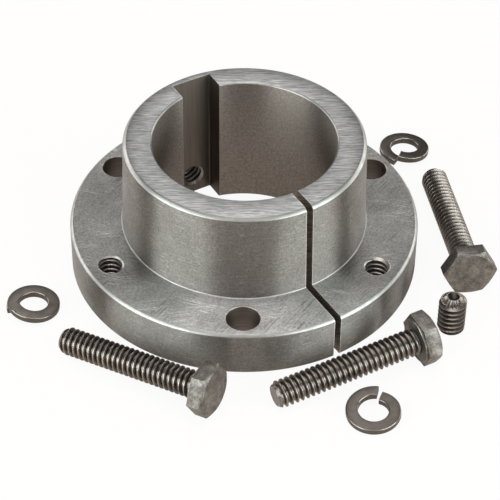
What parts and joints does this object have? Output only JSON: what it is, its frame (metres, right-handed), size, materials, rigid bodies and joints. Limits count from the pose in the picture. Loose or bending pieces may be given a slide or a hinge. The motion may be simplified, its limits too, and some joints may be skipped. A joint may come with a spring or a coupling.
{
  "type": "quick disconnect bushing",
  "caption": "Split tapered flanged steel bushing with a keyed bore, shown with its own hex cap screws, split lock washers and set screw loose beside it.",
  "frame": {"origin": "on the axis of the bore, in the plane of the flange's outer face, which the bushing stands on", "axes": "+Z along the bore from the flange to the small end of the barrel; +Y through the middle of the keyway, with the slit opposite; X across them"},
  "size_m": [0.1151, 0.1047, 0.0333],
  "materials": {
    "bushing_steel": "turned and ground bare steel, lightly oiled",
    "screw_steel": "rolled thread, plain dark steel",
    "washer_steel": "coiled spring steel wire, plain and dark",
    "set_screw_steel": "alloy steel, thin black oxide"
  },
  "bodies": {
    "root": {"bushing": "bushing_steel", "cap_screw_1": "screw_steel", "cap_screw_2": "screw_steel", "cap_screw_3": "screw_steel", "lock_washer_1": "washer_steel", "lock_washer_2": "washer_steel", "lock_washer_3": "washer_steel", "set_screw": "set_screw_steel"}
  },
  "joints": []
}
